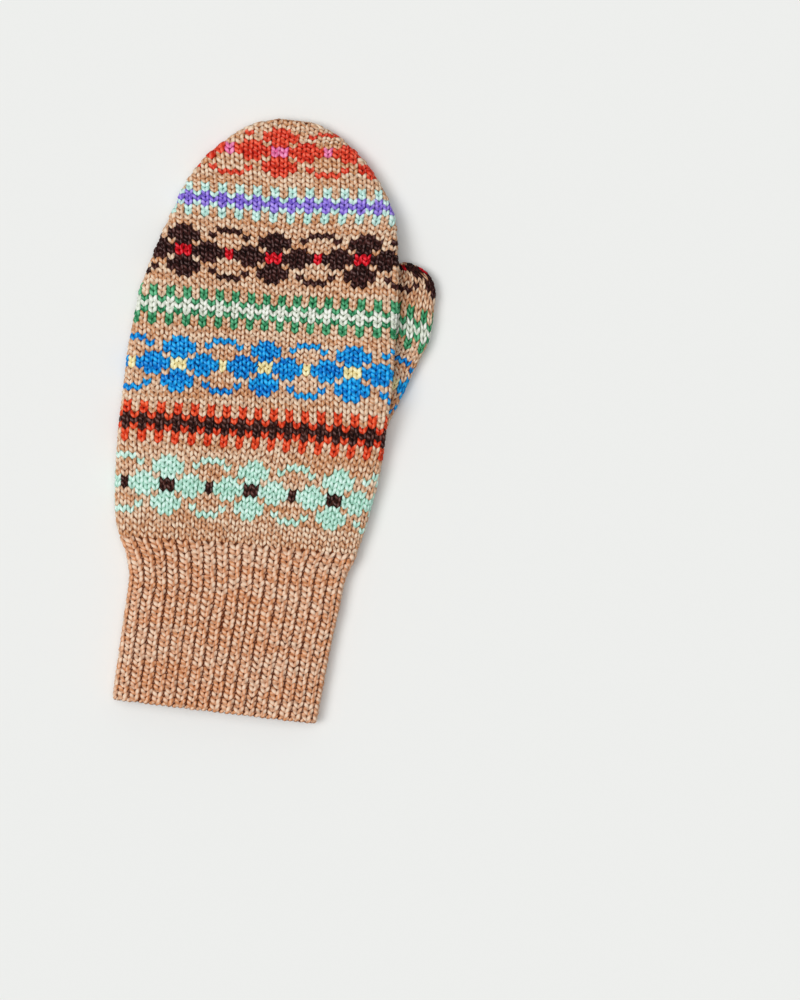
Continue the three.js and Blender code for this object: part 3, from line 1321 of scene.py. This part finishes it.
def join(parts: list[MeshData]) -> MeshData:
    """Joins meshes into one."""
    sizes = np.cumsum([0] + [len(part.points) for part in parts])
    return MeshData(
        points=np.concatenate([part.points for part in parts]),
        corners=np.concatenate([part.corners + size for part, size in zip(parts, sizes)]),
        counts=np.concatenate([part.counts for part in parts]),
        slots=np.concatenate([part.slots for part in parts]),
        map_places=np.concatenate([part.map_places for part in parts]),
        tables={
            key: np.concatenate([part.tables[key] for part in parts]) for key in parts[0].tables
        },
    )


def without_faces(data: MeshData, drop: Array) -> MeshData:
    """Leaves out faces, for a hole."""
    keep = ~drop
    kept_corners = np.repeat(keep, data.counts)
    return replace(
        data,
        corners=data.corners[kept_corners],
        counts=data.counts[keep],
        slots=data.slots[keep],
        map_places=data.map_places[kept_corners],
    )


def face_middles(data: MeshData) -> Array:
    """The middle of every four-cornered face."""
    return data.points[data.corners].reshape(-1, 4, 3).mean(axis=1)


@dataclass(frozen=True)
class Ground:
    """The skin between the stitches and the inside of one tube, made of rings of points.

    around counts the points of a ring, floats the strands that are carried round inside.
    """

    form: TubeForm
    row_height: float
    around: int
    floats: int
    depth: float = 0.95
    closed_rings: int = 3

    @property
    def fractions(self) -> Array:
        """Where the points of a ring lie round it."""
        return np.arange(self.around) / self.around

    def outside(
        self,
        field: RowMap,
        sides: list[tuple[Edges, Cells]],
        rows: Array,
        end_colour: Colour | None = None,
    ) -> MeshData:
        """Makes the skin between the stitches, painted with shade.

        Args:
            field: The rows on the form.
            sides: The stitches round the form, each side with the edges of its columns.
            rows: The rows of the rings.
            end_colour: A lighter colour painted on the closed end instead of the ground's painted
                shade, to offset the shadow there, if any.

        Returns:
            The arrays of the mesh.
        """
        level = np.repeat(rows[:, None], self.around, axis=1)
        girth = field.read(field.girth, level)
        distance = self.fractions[None, :] * girth - field.read(field.zero, level)
        points, normals = field.locate(level, distance)
        points = closed_end(points - normals * self.depth)
        shade = painted_ground_shades(field, sides, rows, distance)
        weave = np.stack([self.fractions * self.floats + 0 * level, level, 0 * level], axis=-1)
        shade, weave = np.concatenate([shade, shade[-1:]]), np.concatenate([weave, weave[-1:]])
        # Painted light: the closing rings take a lighter colour to offset the shadow at the end
        if end_colour:
            shade[-self.closed_rings :] = linear(end_colour)
        return ground_grid(points, shade, weave, OUTER_MAP, False)

    def inside(self, places: Array, insets: Array) -> MeshData:
        """Makes the inside of the tube.

        Args:
            places: The rings' places along the tube.
            insets: How far each ring is drawn in from the form.

        Returns:
            The arrays of the mesh.
        """
        angle = math.pi / 2 - 2 * math.pi * self.fractions
        points = np.stack(
            [
                self.form.point(np.full(self.around, place), angle, inset)
                for place, inset in zip(places, insets)
            ]
        )
        nought = 0 * points[..., 0]
        weave = np.stack(
            [
                self.fractions * self.floats + nought,
                points[..., 1] / self.row_height,
                1 + nought,
            ],
            axis=-1,
        )
        wool = evenly(INNER_COLOUR, points.shape[:2])
        return ground_grid(points, wool, weave, INNER_MAP, True)


def ring_places(start: float, bend: float, end: float, even: int, closing: int) -> Array:
    """The places of rings along a tube, ever closer together from its bend to its end."""
    closing_places = bend + (end - bend) * np.sin(np.linspace(0, math.pi / 2, closing))
    return np.concatenate([np.linspace(start, bend, even), closing_places[1:]])


# The mitten's pieces


@dataclass
class Hand:
    """The hand: flower and border bands on oatmeal, drawn in at the sides of the tip."""

    body: BodyForm
    thumb: ThumbForm
    first_row: int = -1
    rows: int = 78
    overrun: float = 0.45
    row_height: float = 2.36
    sink: float = 1.16
    seed: int = 7
    columns: int = 34
    left_column: int = -18
    right_column: int = 16
    chart_shift: int = 6
    palm_chart_shift: int = 4
    wall: float = 2.8
    thumb_overlap: float = 0.8
    thumb_ground_overlap: float = 1.6
    graft_count: int = 5
    graft_width: float = 3.0
    graft_height: float = 2.6
    graft_rise: float = -1.3
    graft_seed: int = 61
    graft_samples: int = 48

    ROW_PLACES = (
        (-3, 69.5),
        (0, 77.0),
        (8, 97.8),
        (18.5, 125.0),
        (29, 151.7),
        (39.5, 175.5),
        (50, 199.2),
        (60.5, 222.6),
        (71, 245.8),
        (78, 260.4),
        (79.5, 263.4),
    )
    LINE_SIZES = SizeTable(
        ("along", "left_slope", "right_slope", "centre", "pitch", "left_spread", "right_spread"),
        (
            (72, 0.060, 0.020, 5.9, 3.18, 0.03, 0.03),
            (98, 0.045, -0.005, 6.1, 3.29, 0.03, 0.02),
            (123, 0.045, 0.040, 7.4, 3.43, 0.06, 0.05),
            (149, 0.070, 0.055, 5.9, 3.31, 0.085, 0.15),
            (176, 0.035, 0.050, 5.0, 3.35, 0.08, 0.08),
            (200, 0.012, 0.100, 3.9, 3.55, 0.04, 0.0),
            (223, 0.02, 0.10, 3.3, 3.80, 0.0, 0.0),
            (238, 0.058, 0.103, 1.7, 3.83, 0.1, 0.0),
            (247, 0.010, 0.105, 0.8, 3.85, 0.5, 0.0),
            (258, 0.0, 0.0, 0.5, 4.1, 0.0, 0.0),
        ),
    )
    SPREAD_COLUMN = 17
    BLEND_START = 150.0
    BLEND_END = 205.0
    # Painted lighter than the ground, without its painted shade, so the end that faces away from
    # the light does not show dark
    TIP_LIGHTENED_COLOUR = (190, 150, 116)

    def __post_init__(self) -> None:
        """Traces the rows over the form."""
        sizes = self.LINE_SIZES
        lines = RowLines(
            start=lambda row: place_of(self.ROW_PLACES, row),
            slope=lambda at: (sizes.read("left_slope", at), sizes.read("right_slope", at)),
            centre=lambda at: sizes.read("centre", at),
        )
        self.field = RowMap(self.body, lines, self.first_row - 1.5, self.rows + 1.5)

    def size(self, name: str, row: Array) -> Array:
        """One size of the rows' lines at a row."""
        return self.LINE_SIZES.read(name, place_of(self.ROW_PLACES, row))

    def front_line(self, row: Array, column: Array) -> Array:
        """The distance from the middle of the back of a line between two columns."""
        left, right = self.size("left_spread", row), self.size("right_spread", row)
        spread = np.where(column < 0, left, right)
        pitch = self.size("pitch", row)
        return pitch * column * (1 + spread * (column / self.SPREAD_COLUMN) ** 2)

    def limits(self, row: Array) -> tuple[Array, Array]:
        """The two sides of the back: fixed columns low down, the folds at the tip."""
        along = place_of(self.ROW_PLACES, row)
        share = smooth_step(along, self.BLEND_START, self.BLEND_END)
        left = self.front_line(row, np.full_like(row, self.left_column))
        right = self.front_line(row, np.full_like(row, self.right_column))
        left_fold = self.field.read(self.field.left, row)
        right_fold = self.field.read(self.field.right, row)
        return left + (left_fold - left) * share, right + (right_fold - right) * share

    def back_edges(self, row: Array, column: Array) -> Array:
        """The distance of a column's edge on the back; an endless column is the side."""
        line = self.front_line(row, without_ends(column))
        return between_sides(line, column, *self.limits(row))

    def palm_edges(self, row: Array, column: Array) -> Array:
        """The distance of a column's edge on the palm; an endless column is the side."""
        left, start = self.limits(row)
        end = left + self.field.read(self.field.girth, row)
        pitch = np.maximum((end - start) / self.columns, self.size("pitch", row))
        line = (start + end) / 2 + without_ends(column) * pitch
        return between_sides(line, column, start, end)

    def build(self, maker: PieceMaker, wardrobe: Wardrobe) -> None:
        """Makes the ground and the stitches of both sides."""
        palm_half = self.columns // 2
        back = range(self.left_column, self.right_column)
        palm = range(-palm_half, palm_half)
        covered = []
        for side, edges, columns, shift in (
            ("back", self.back_edges, back, self.chart_shift),
            ("palm", self.palm_edges, palm, self.palm_chart_shift),
        ):
            rows = range(self.first_row, self.rows)
            cells = chart_cells(edges, columns, rows, HAND_BANDS, shift)
            covered.append((edges, cells))
            fabric = Fabric(self.field, edges, self.row_height)
            lower = cells.row < self.rows // 2
            for span, chosen in (("lower", lower), ("upper", ~lower)):
                strands = fabric.lay(KNIT_LEG, cells.pick(chosen), self.sink, self.seed)
                data = strands.clear_of(self.thumb, self.thumb_overlap).mesh()
                maker.make(f"hand_{side}_{span}", data, wardrobe.yarns)
        self.build_graft(maker, wardrobe)
        self.build_ground(maker, wardrobe, covered)

    def build_graft(self, maker: PieceMaker, wardrobe: Wardrobe) -> None:
        """Makes the short grafted row that joins back and palm at the very tip."""
        level = np.full(self.graft_samples, self.rows + self.overrun)
        fractions = np.arange(self.graft_samples) / self.graft_samples
        distance = fractions * self.field.read(self.field.girth, level)
        middle = self.field.locate(level, distance)[0].mean(axis=0)
        count, slack = 2 * self.graft_count, Slack(size=0.04)
        mirror = np.tile([-1.0, 1.0], self.graft_count)
        chance = np.random.default_rng(self.graft_seed)
        size = 1 + chance.normal(0, slack.size, count)
        widths, heights = np.full(count, self.graft_width), np.full(count, self.graft_height)
        local, twist = KNIT_LEG.shape(widths, heights, mirror, size)
        number = np.arange(self.graft_count) - (self.graft_count - 1) / 2
        across = np.repeat(number, 2)[:, None] * self.graft_width + local[..., 0]
        up = local[..., 1] - 0.5 * self.graft_height
        points = np.stack([across, self.graft_rise + local[..., 2], up], axis=-1) + middle
        stitch = np.empty_like(points)
        stitch[..., 0] = chance.random(count)[:, None]
        stitch[..., 1] = 0.5
        stitch[..., 2] = slack.height(local[..., 2])
        yarns = np.full(count, YARNS.index(Yarn.OATMEAL))
        data = Strands(KNIT_LEG, points, twist, stitch, yarns).mesh()
        maker.make("hand_tip_graft", data, wardrobe.yarns)

    def build_ground(
        self, maker: PieceMaker, wardrobe: Wardrobe, sides: list[tuple[Edges, Cells]]
    ) -> None:
        """Makes the skin under the stitches and the inside of the hand."""
        ground = Ground(self.body, self.row_height, around=204, floats=68)
        rows = np.arange(self.first_row, self.rows + self.overrun, 0.5)
        skin = ground.outside(self.field, sides, rows, self.TIP_LIGHTENED_COLOUR)
        end = self.body.length - self.wall
        places = ring_places(CUFF_END, self.body.tip_start, end, even=60, closing=14)
        insets = np.full(len(places) + 1, self.wall)
        insets[0] = ground.depth
        inside = ground.inside(np.concatenate([[CUFF_END], places]), insets)
        data = join([skin, inside])
        drop = self.thumb.contains(face_middles(data), self.thumb_ground_overlap)
        data = without_faces(data, drop)
        maker.make("hand_lining", data, [wardrobe.lining], "hand")


@dataclass
class Thumb:
    """The thumb: a tube from the palm whose bands are level with the hand's."""

    body: BodyForm
    form: ThumbForm
    first_row: int = -7
    rows: int = 34
    overrun: float = 0.9
    row_height: float = 2.4
    sink: float = 1.16
    seed: int = 19
    middle_column: int = 4
    columns: tuple[int, int] = (-14, 36)
    inner_start: float = 118.0
    wall: float = 2.4
    hand_overlap: float = 0.6
    skin_overlap: float = 1.6
    inner_overlap: float = 2.9

    ROW_PLACES = (
        (-9, 107.0),
        (0, 128.5),
        (11, 155.0),
        (15.5, 164.1),
        (19.5, 172.1),
        (24.5, 185.8),
        (27.5, 193.4),
        (31, 201.5),
        (33, 204.3),
        (34, 204.7),
        (36, 204.8),
    )
    SLOPES = SizeTable(
        ("along", "left", "right"),
        (
            (128, -0.20, -0.40),
            (154, -0.20, -0.34),
            (164, -0.22, -0.25),
            (172, -0.20, -0.20),
            (186, -0.17, -0.18),
            (194, -0.08, -0.08),
            (206, 0.0, 0.0),
        ),
    )
    COLUMN_SIZES = SizeTable(
        ("row", "middle", "pitch"),
        (
            (-8, 15.8, 3.2),
            (11, 15.6, 3.2),
            (15.5, 13.4, 3.3),
            (19.5, 12.6, 3.35),
            (24.5, 10.4, 3.15),
            (27.5, 10.3, 2.9),
            (29.5, 9.6, 2.6),
            (32, 4.3, 1.6),
            (35, 2.0, 1.6),
        ),
    )

    def __post_init__(self) -> None:
        """Traces the rows over the form."""
        slopes = self.SLOPES
        lines = RowLines(
            start=lambda row: place_of(self.ROW_PLACES, row),
            slope=lambda at: (slopes.read("left", at), slopes.read("right", at)),
            centre=lambda at: self.form.section(at, 0).centre,
        )
        self.field = RowMap(self.form, lines, self.first_row - 1.5, self.rows + 1.5)

    def edges(self, row: Array, column: Array) -> Array:
        """The distance of a column's edge from the middle of the thumb's back."""
        start = self.field.read(self.field.left, row)
        end = start + self.field.read(self.field.girth, row)
        number = without_ends(column) - self.middle_column
        pitch = self.COLUMN_SIZES.read("pitch", row)
        line = self.COLUMN_SIZES.read("middle", row) + number * pitch
        return between_sides(line, column, start, end)

    def build(self, maker: PieceMaker, wardrobe: Wardrobe) -> None:
        """Makes the stitches, the skin under them and the inside."""
        rows = range(self.first_row, self.rows)
        cells = chart_cells(self.edges, range(*self.columns), rows, THUMB_BANDS)
        fabric = Fabric(self.field, self.edges, self.row_height)
        strands = fabric.lay(THUMB_LEG, cells, self.sink, self.seed)
        data = strands.clear_of(self.body, self.hand_overlap).mesh()
        maker.make("thumb_stitches", data, wardrobe.yarns)
        ground = Ground(self.form, self.row_height, around=88, floats=29)
        rows = np.arange(self.first_row, self.rows + self.overrun, 0.5)
        skin = ground.outside(self.field, [(self.edges, cells)], rows)
        end = self.form.length - self.wall
        places = ring_places(self.inner_start, self.form.tip_start, end, even=36, closing=12)
        inside = ground.inside(places, np.full(len(places), self.wall))
        parts = [
            without_faces(part, self.body.contains(face_middles(part), overlap))
            for part, overlap in ((skin, self.skin_overlap), (inside, self.inner_overlap))
        ]
        maker.make("thumb_lining", join(parts), [wardrobe.lining], "thumb")


@dataclass
class Cuff:
    """The cuff: one-by-one rib with a cast-on edge."""

    body: BodyForm
    start: float = 1.2
    length: float = CUFF_END
    ribs: int = 37
    rows: int = 29
    top_slopes: tuple[float, float] = (0.06, 0.025)
    slope_start: float = 8.0
    wall: float = 2.6
    sink: float = 1.1
    wander: float = 0.05
    bead_sinks: tuple[float, ...] = (1.1, 2.2, 3.1)
    inside_rows: int = 9
    inside_sink: float = 1.3
    points_per_rib: int = 8
    ring_count: int = 64
    ground_span: tuple[float, float] = (0.15, 28.98)
    ground_depth: float = 0.8
    ground_relief: float = 0.1
    inside_relief: float = 0.25
    phase_seed: int = 31

    WAVES = ((0.23, 1.0), (0.51, 0.6), (0.97, 0.4))
    SLACK = Slack(0.04, (0.07, 0.10, 0.06), 0.035, foot=-0.3, crown=1.8, sharing=1)
    # The outer skin is painted a dark shade, which shows in the valleys between the ribs
    GROOVE_SHADE_COLOUR = (104, 52, 26)
    INSIDE_COLOUR = (176, 122, 84)

    def __post_init__(self) -> None:
        """Traces the rows over the form."""
        self.row_height = (self.length - self.start) / self.rows
        lines = RowLines(
            start=lambda row: self.start + row * self.row_height,
            slope=self.slopes,
            centre=lambda at: self.body.section(at, 0).centre,
        )
        self.field = RowMap(self.body, lines, -1.0, self.rows + 1.0)
        chance = np.random.default_rng(self.phase_seed)
        self.phases = chance.random((self.ribs, 3)) * 2 * math.pi

    def slopes(self, at: Array) -> tuple[Array, Array]:
        """The rows' rise left and right of the middle, which grows along the cuff."""
        left, right = self.top_slopes
        share = np.clip((at - self.slope_start) / (self.length - self.slope_start), 0, 1)
        return left * share, right * share

    def edges(self, row: Array, column: Array) -> Array:
        """The distance of a rib's edge, which wanders a little along the cuff."""
        girth = self.field.read(self.field.girth, row)
        phase = self.phases[np.round(column).astype(int) % self.ribs]
        sway = sum(
            share * np.sin(row * pace + phase[..., i])
            for i, (pace, share) in enumerate(self.WAVES)
        )
        return (column + self.wander * sway) / self.ribs * girth

    def build(self, maker: PieceMaker, wardrobe: Wardrobe) -> None:
        """Makes the ribs, the valleys, the cast-on edge and the ground."""
        row, rib = np.meshgrid(np.arange(self.rows), np.arange(self.ribs), indexing="ij")
        row, rib = row.ravel(), rib.ravel().astype(float)
        low = row < self.inside_rows
        bead = np.tile(np.arange(2 * self.ribs) / 2 - 0.75, len(self.bead_sinks))
        bead_sinks = np.repeat(np.array(self.bead_sinks), 2 * self.ribs)
        fabric = Fabric(self.field, self.edges, self.row_height, self.SLACK)
        for name, strand, level, left, sink, seed in (
            ("cuff_ribs", RIB_LEG, row, rib - 0.5, self.sink, 41),
            ("cuff_valleys", PURL_BUMP, row, rib, self.sink, 43),
            ("cuff_cast_on", EDGE_BEAD, 0 * bead, bead, bead_sinks, 47),
            ("cuff_inside_ribs", RIB_LEG, row[low], rib[low], self.inside_sink, 53),
        ):
            yarns = np.full(len(left), YARNS.index(Yarn.RIB))
            cells = Cells(level, left, left + 1.0, yarns)
            strands = fabric.lay(strand, cells, sink, seed, inward=name == "cuff_inside_ribs")
            maker.make(name, strands.mesh(), wardrobe.yarns)
        self.build_ground(maker, wardrobe)

    def build_ground(self, maker: PieceMaker, wardrobe: Wardrobe) -> None:
        """Makes the ribbed skin under the stitches, painted a dark shade for the valleys, and the
        ribbed inside.
        """
        around = self.ribs * self.points_per_rib
        levels = np.linspace(*self.ground_span, self.ring_count)
        level = np.repeat(levels[:, None], around, axis=1)
        place = np.broadcast_to(np.arange(around) / self.points_per_rib, level.shape)
        distance = place / self.ribs * self.field.read(self.field.girth, level)
        base, normal = self.field.locate(level, distance)
        wave = np.cos(2 * math.pi * place)
        outside = base - normal * (self.ground_depth - self.ground_relief * wave)[..., None]
        inside = base - normal * (self.wall - self.inside_relief * wave)[..., None]
        groove_shade = evenly(self.GROOVE_SHADE_COLOUR, level.shape)
        wool = evenly(self.INSIDE_COLOUR, level.shape)
        weave = np.stack([place, level, 0 * level], axis=-1)
        woven = np.stack([place, level, 0 * level + 1], axis=-1)
        rim, rim_weave = np.stack([outside[0], inside[0]]), np.stack([weave[0], woven[0]])
        data = join(
            [
                ground_grid(outside, groove_shade, weave, ((0.0, 0.0), (1.0, 0.46)), False),
                ground_grid(inside, wool, woven, ((0.0, 0.48), (1.0, 0.94)), True),
                ground_grid(rim, wool[:2], rim_weave, ((0.0, 0.96), (1.0, 1.0)), True),
            ]
        )
        maker.make("cuff_lining", data, [wardrobe.lining], "cuff")


# Studio


@dataclass(frozen=True)
class SoftLight:
    """An even soft light from one direction, given in the picture's right and up."""

    name: str
    strength: float
    side: float
    forward: float
    height: float
    spread: float


@dataclass
class Studio:
    """The pale floor, the soft light and the camera above."""

    floor_size: float = 6.0
    picture_centre: tuple[float, float] = (71.0, 101.4)
    picture_height: float = 437.0
    lean: float = 6.85
    distance: float = 1.6
    level: float = 8.0
    sensor: float = 36.0
    world_strength: float = 0.24
    lights: tuple[SoftLight, ...] = (
        SoftLight("key", strength=1.12, side=-0.46, forward=-0.02, height=0.93, spread=26.0),
        SoftLight("fill", strength=1.38, side=-0.08, forward=0.02, height=1.0, spread=50.0),
    )

    def build(self, placement: Placement, wardrobe: Wardrobe) -> None:
        """Makes the floor, the lights and the camera."""
        self.make_floor(wardrobe.floor)
        middle = placement.metres(np.array([*self.picture_centre, 0.0]))
        self.make_camera(Vector(middle.tolist()))
        self.make_lights()

    def make_floor(self, material: bpy.types.Material) -> None:
        """Makes the floor."""
        mesh = bpy.data.meshes.new("floor")
        half = self.floor_size / 2
        corners = [(-half, -half, 0), (half, -half, 0), (half, half, 0), (-half, half, 0)]
        mesh.from_pydata(corners, [], [(0, 1, 2, 3)])
        mesh.materials.append(material)
        floor = bpy.data.objects.new("floor", mesh)
        bpy.context.scene.collection.objects.link(floor)

    def turned(self, across: float, along: float) -> Vector:
        """A direction on the floor given in the picture's right and up."""
        lean = math.radians(self.lean)
        right = Vector((math.cos(lean), math.sin(lean), 0))
        up = Vector((-math.sin(lean), math.cos(lean), 0))
        return right * across + up * along

    def make_camera(self, middle: Vector) -> None:
        """Places the camera straight above the picture's middle."""
        data = bpy.data.cameras.new("camera")
        data.sensor_fit = "VERTICAL"
        data.sensor_height = self.sensor
        data.lens = self.sensor * self.distance / (self.picture_height * MM)
        data.clip_end = 20
        camera = bpy.data.objects.new("camera", data)
        right, up = self.turned(1, 0), self.turned(0, 1)
        turn = Matrix((right, up, Vector((0, 0, 1)))).transposed()
        place = middle + Vector((0, 0, self.distance + self.level * MM))
        camera.matrix_world = Matrix.Translation(place) @ turn.to_4x4()
        bpy.context.scene.collection.objects.link(camera)
        bpy.context.scene.camera = camera

    def make_lights(self) -> None:
        """Makes the soft lights and an even surrounding light."""
        for light in self.lights:
            data = bpy.data.lights.new(light.name, "SUN")
            data.energy = light.strength
            data.angle = math.radians(light.spread)
            lamp = bpy.data.objects.new(light.name, data)
            toward = self.turned(light.side, light.forward) + Vector((0, 0, light.height))
            lamp.rotation_euler = toward.to_track_quat("Z", "Y").to_euler()
            bpy.context.scene.collection.objects.link(lamp)
        world = bpy.data.worlds.new("surroundings")
        world.use_nodes = True
        background = world.node_tree.nodes["Background"]
        background.inputs["Color"].default_value = (1.0, 1.0, 1.0, 1.0)
        background.inputs["Strength"].default_value = self.world_strength
        bpy.context.scene.world = world
        bpy.context.scene.view_settings.view_transform = "Standard"


def main() -> None:
    """Builds the mitten and its studio."""
    logging.basicConfig(level=logging.INFO, format="%(name)s: %(message)s")
    placement = Placement()
    wardrobe = Wardrobe()
    maker = PieceMaker(placement)
    body, thumb_form = BodyForm(), ThumbForm()
    Cuff(body).build(maker, wardrobe)
    Hand(body, thumb_form).build(maker, wardrobe)
    Thumb(body, thumb_form).build(maker, wardrobe)
    Studio().build(placement, wardrobe)
    log.info("all pieces: %d triangles", maker.triangles)


if __name__ == "__main__":
    main()
